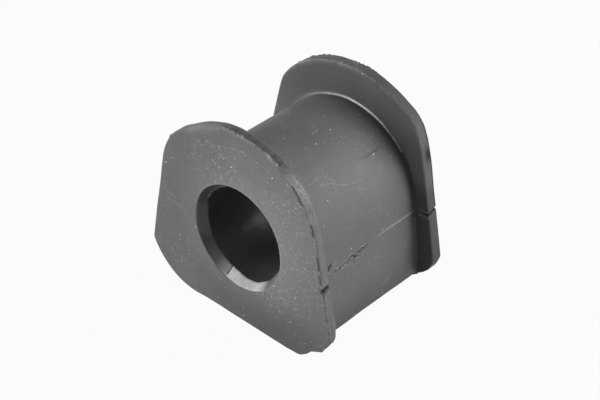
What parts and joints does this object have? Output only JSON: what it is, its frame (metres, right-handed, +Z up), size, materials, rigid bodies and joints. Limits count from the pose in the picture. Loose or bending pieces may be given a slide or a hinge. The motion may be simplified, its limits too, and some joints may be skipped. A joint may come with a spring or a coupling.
{
  "type": "sway bar bushing",
  "caption": "Moulded rubber sway bar bushing: arched body with a flat-footed flange at each end and a through bore with conical mouths.",
  "frame": {"origin": "middle of the footprint, on the plane that the flat feet of both flanges stand on", "axes": "+X across the bushing, +Y along the bore, +Z up from the feet to the arched top"},
  "size_m": [0.059, 0.0432, 0.0542],
  "materials": {
    "rubber": "dark grey moulded rubber, matt with a dull grey bloom, smoother and darker inside the bore"
  },
  "bodies": {
    "root": {"rubber_bushing": "rubber"}
  },
  "joints": []
}
